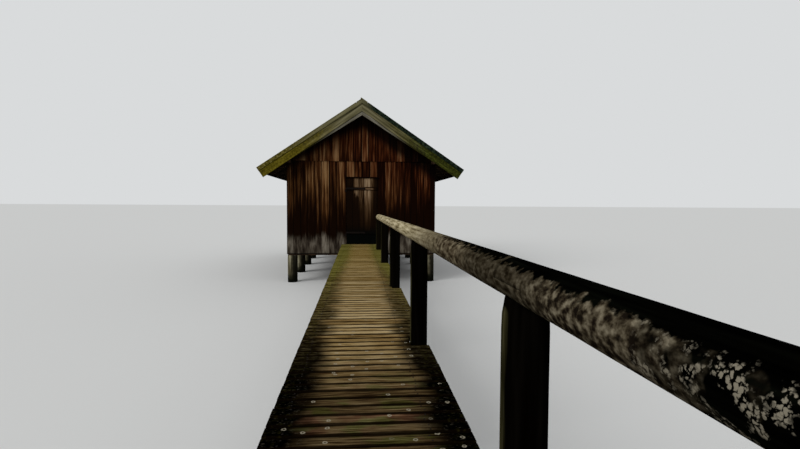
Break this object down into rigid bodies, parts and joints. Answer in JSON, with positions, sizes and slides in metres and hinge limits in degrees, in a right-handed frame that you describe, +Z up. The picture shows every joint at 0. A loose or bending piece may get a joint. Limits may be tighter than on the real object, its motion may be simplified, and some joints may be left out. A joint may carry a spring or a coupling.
{
  "type": "timber boathouse on piles with a plank jetty",
  "caption": "Boarded timber boathouse on piles with a shingled gable roof, reached by a narrow plank jetty with a round log handrail.",
  "frame": {"origin": "under the middle of the whole plan, at the level of the pile feet, where the water surface is in the picture", "axes": "+Y runs along the jetty from its shore end to the hut and on to the hut's rear, +X is to the right of someone walking to the hut, +Z is up"},
  "size_m": [5.6632, 23.331, 5.099],
  "materials": {
    "pile_timber": "weathered round timber, dry and grey",
    "hut_timber": "sawn timber, unpainted",
    "floor_timber": "sawn boards, unpainted",
    "wall_boarding": "sawn boards, tarred dark red-brown and weathered",
    "gable_boarding": "sawn boards, tarred dark red-brown and weathered",
    "roof_boarding": "sawn boards, unpainted",
    "shingles": "split shingles, grey and mossy",
    "barge_boards": "boards with moss and lichen",
    "capping_boards": "boards, grey and mossy",
    "door_boards": "boards, dark with paler worn middle",
    "ironwork": "forged iron, rusted dark brown",
    "deck_planks": "sawn planks, worn and damp",
    "jetty_timber": "sawn timber, weathered",
    "rail_logs": "peeled log, grey with lichen"
  },
  "bodies": {
    "boathouse": {"hut_piles": "pile_timber", "cap_beams": "hut_timber", "floor_joists": "hut_timber", "floor_boards": "floor_timber", "front_wall_left": "wall_boarding", "front_wall_right": "wall_boarding", "front_wall_over_door": "wall_boarding", "front_wall_under_door": "wall_boarding", "front_gable": "gable_boarding", "rear_wall": "wall_boarding", "rear_gable": "gable_boarding", "left_wall": "wall_boarding", "right_wall": "wall_boarding", "wall_posts": "hut_timber", "wall_rails": "hut_timber", "wall_plates": "hut_timber", "tie_beams": "hut_timber", "king_posts": "hut_timber", "ridge_purlin": "hut_timber", "rafters_left": "hut_timber", "rafters_right": "hut_timber", "roof_boards_left": "roof_boarding", "roof_boards_right": "roof_boarding", "shingles_left": "shingles", "shingles_right": "shingles", "barge_board_front_left": "barge_boards", "barge_board_front_right": "barge_boards", "barge_board_rear_left": "barge_boards", "barge_board_rear_right": "barge_boards", "verge_caps": "capping_boards", "ridge_cap": "capping_boards", "door_drip_board": "door_boards", "hinge_hooks": "ironwork", "deck_bay_1": "deck_planks", "deck_bay_2": "deck_planks", "deck_bay_3": "deck_planks", "deck_bay_4": "deck_planks", "deck_bay_5": "deck_planks", "deck_bay_6": "deck_planks", "stringers": "jetty_timber", "clamp_beams": "jetty_timber", "jetty_piles": "pile_timber", "rail_posts": "pile_timber", "handrail_log_1": "rail_logs", "handrail_log_2": "rail_logs", "handrail_log_3": "rail_logs"},
    "door": {"door_leaf": "door_boards", "door_straps": "ironwork"}
  },
  "joints": [
    {"name": "door_hinge", "type": "hinge", "parent": "boathouse", "child": "door", "pos_m": [-0.437, 3.2035, 1.07], "axis": [0, 0, -1], "range_deg": [0, 100]}
  ]
}
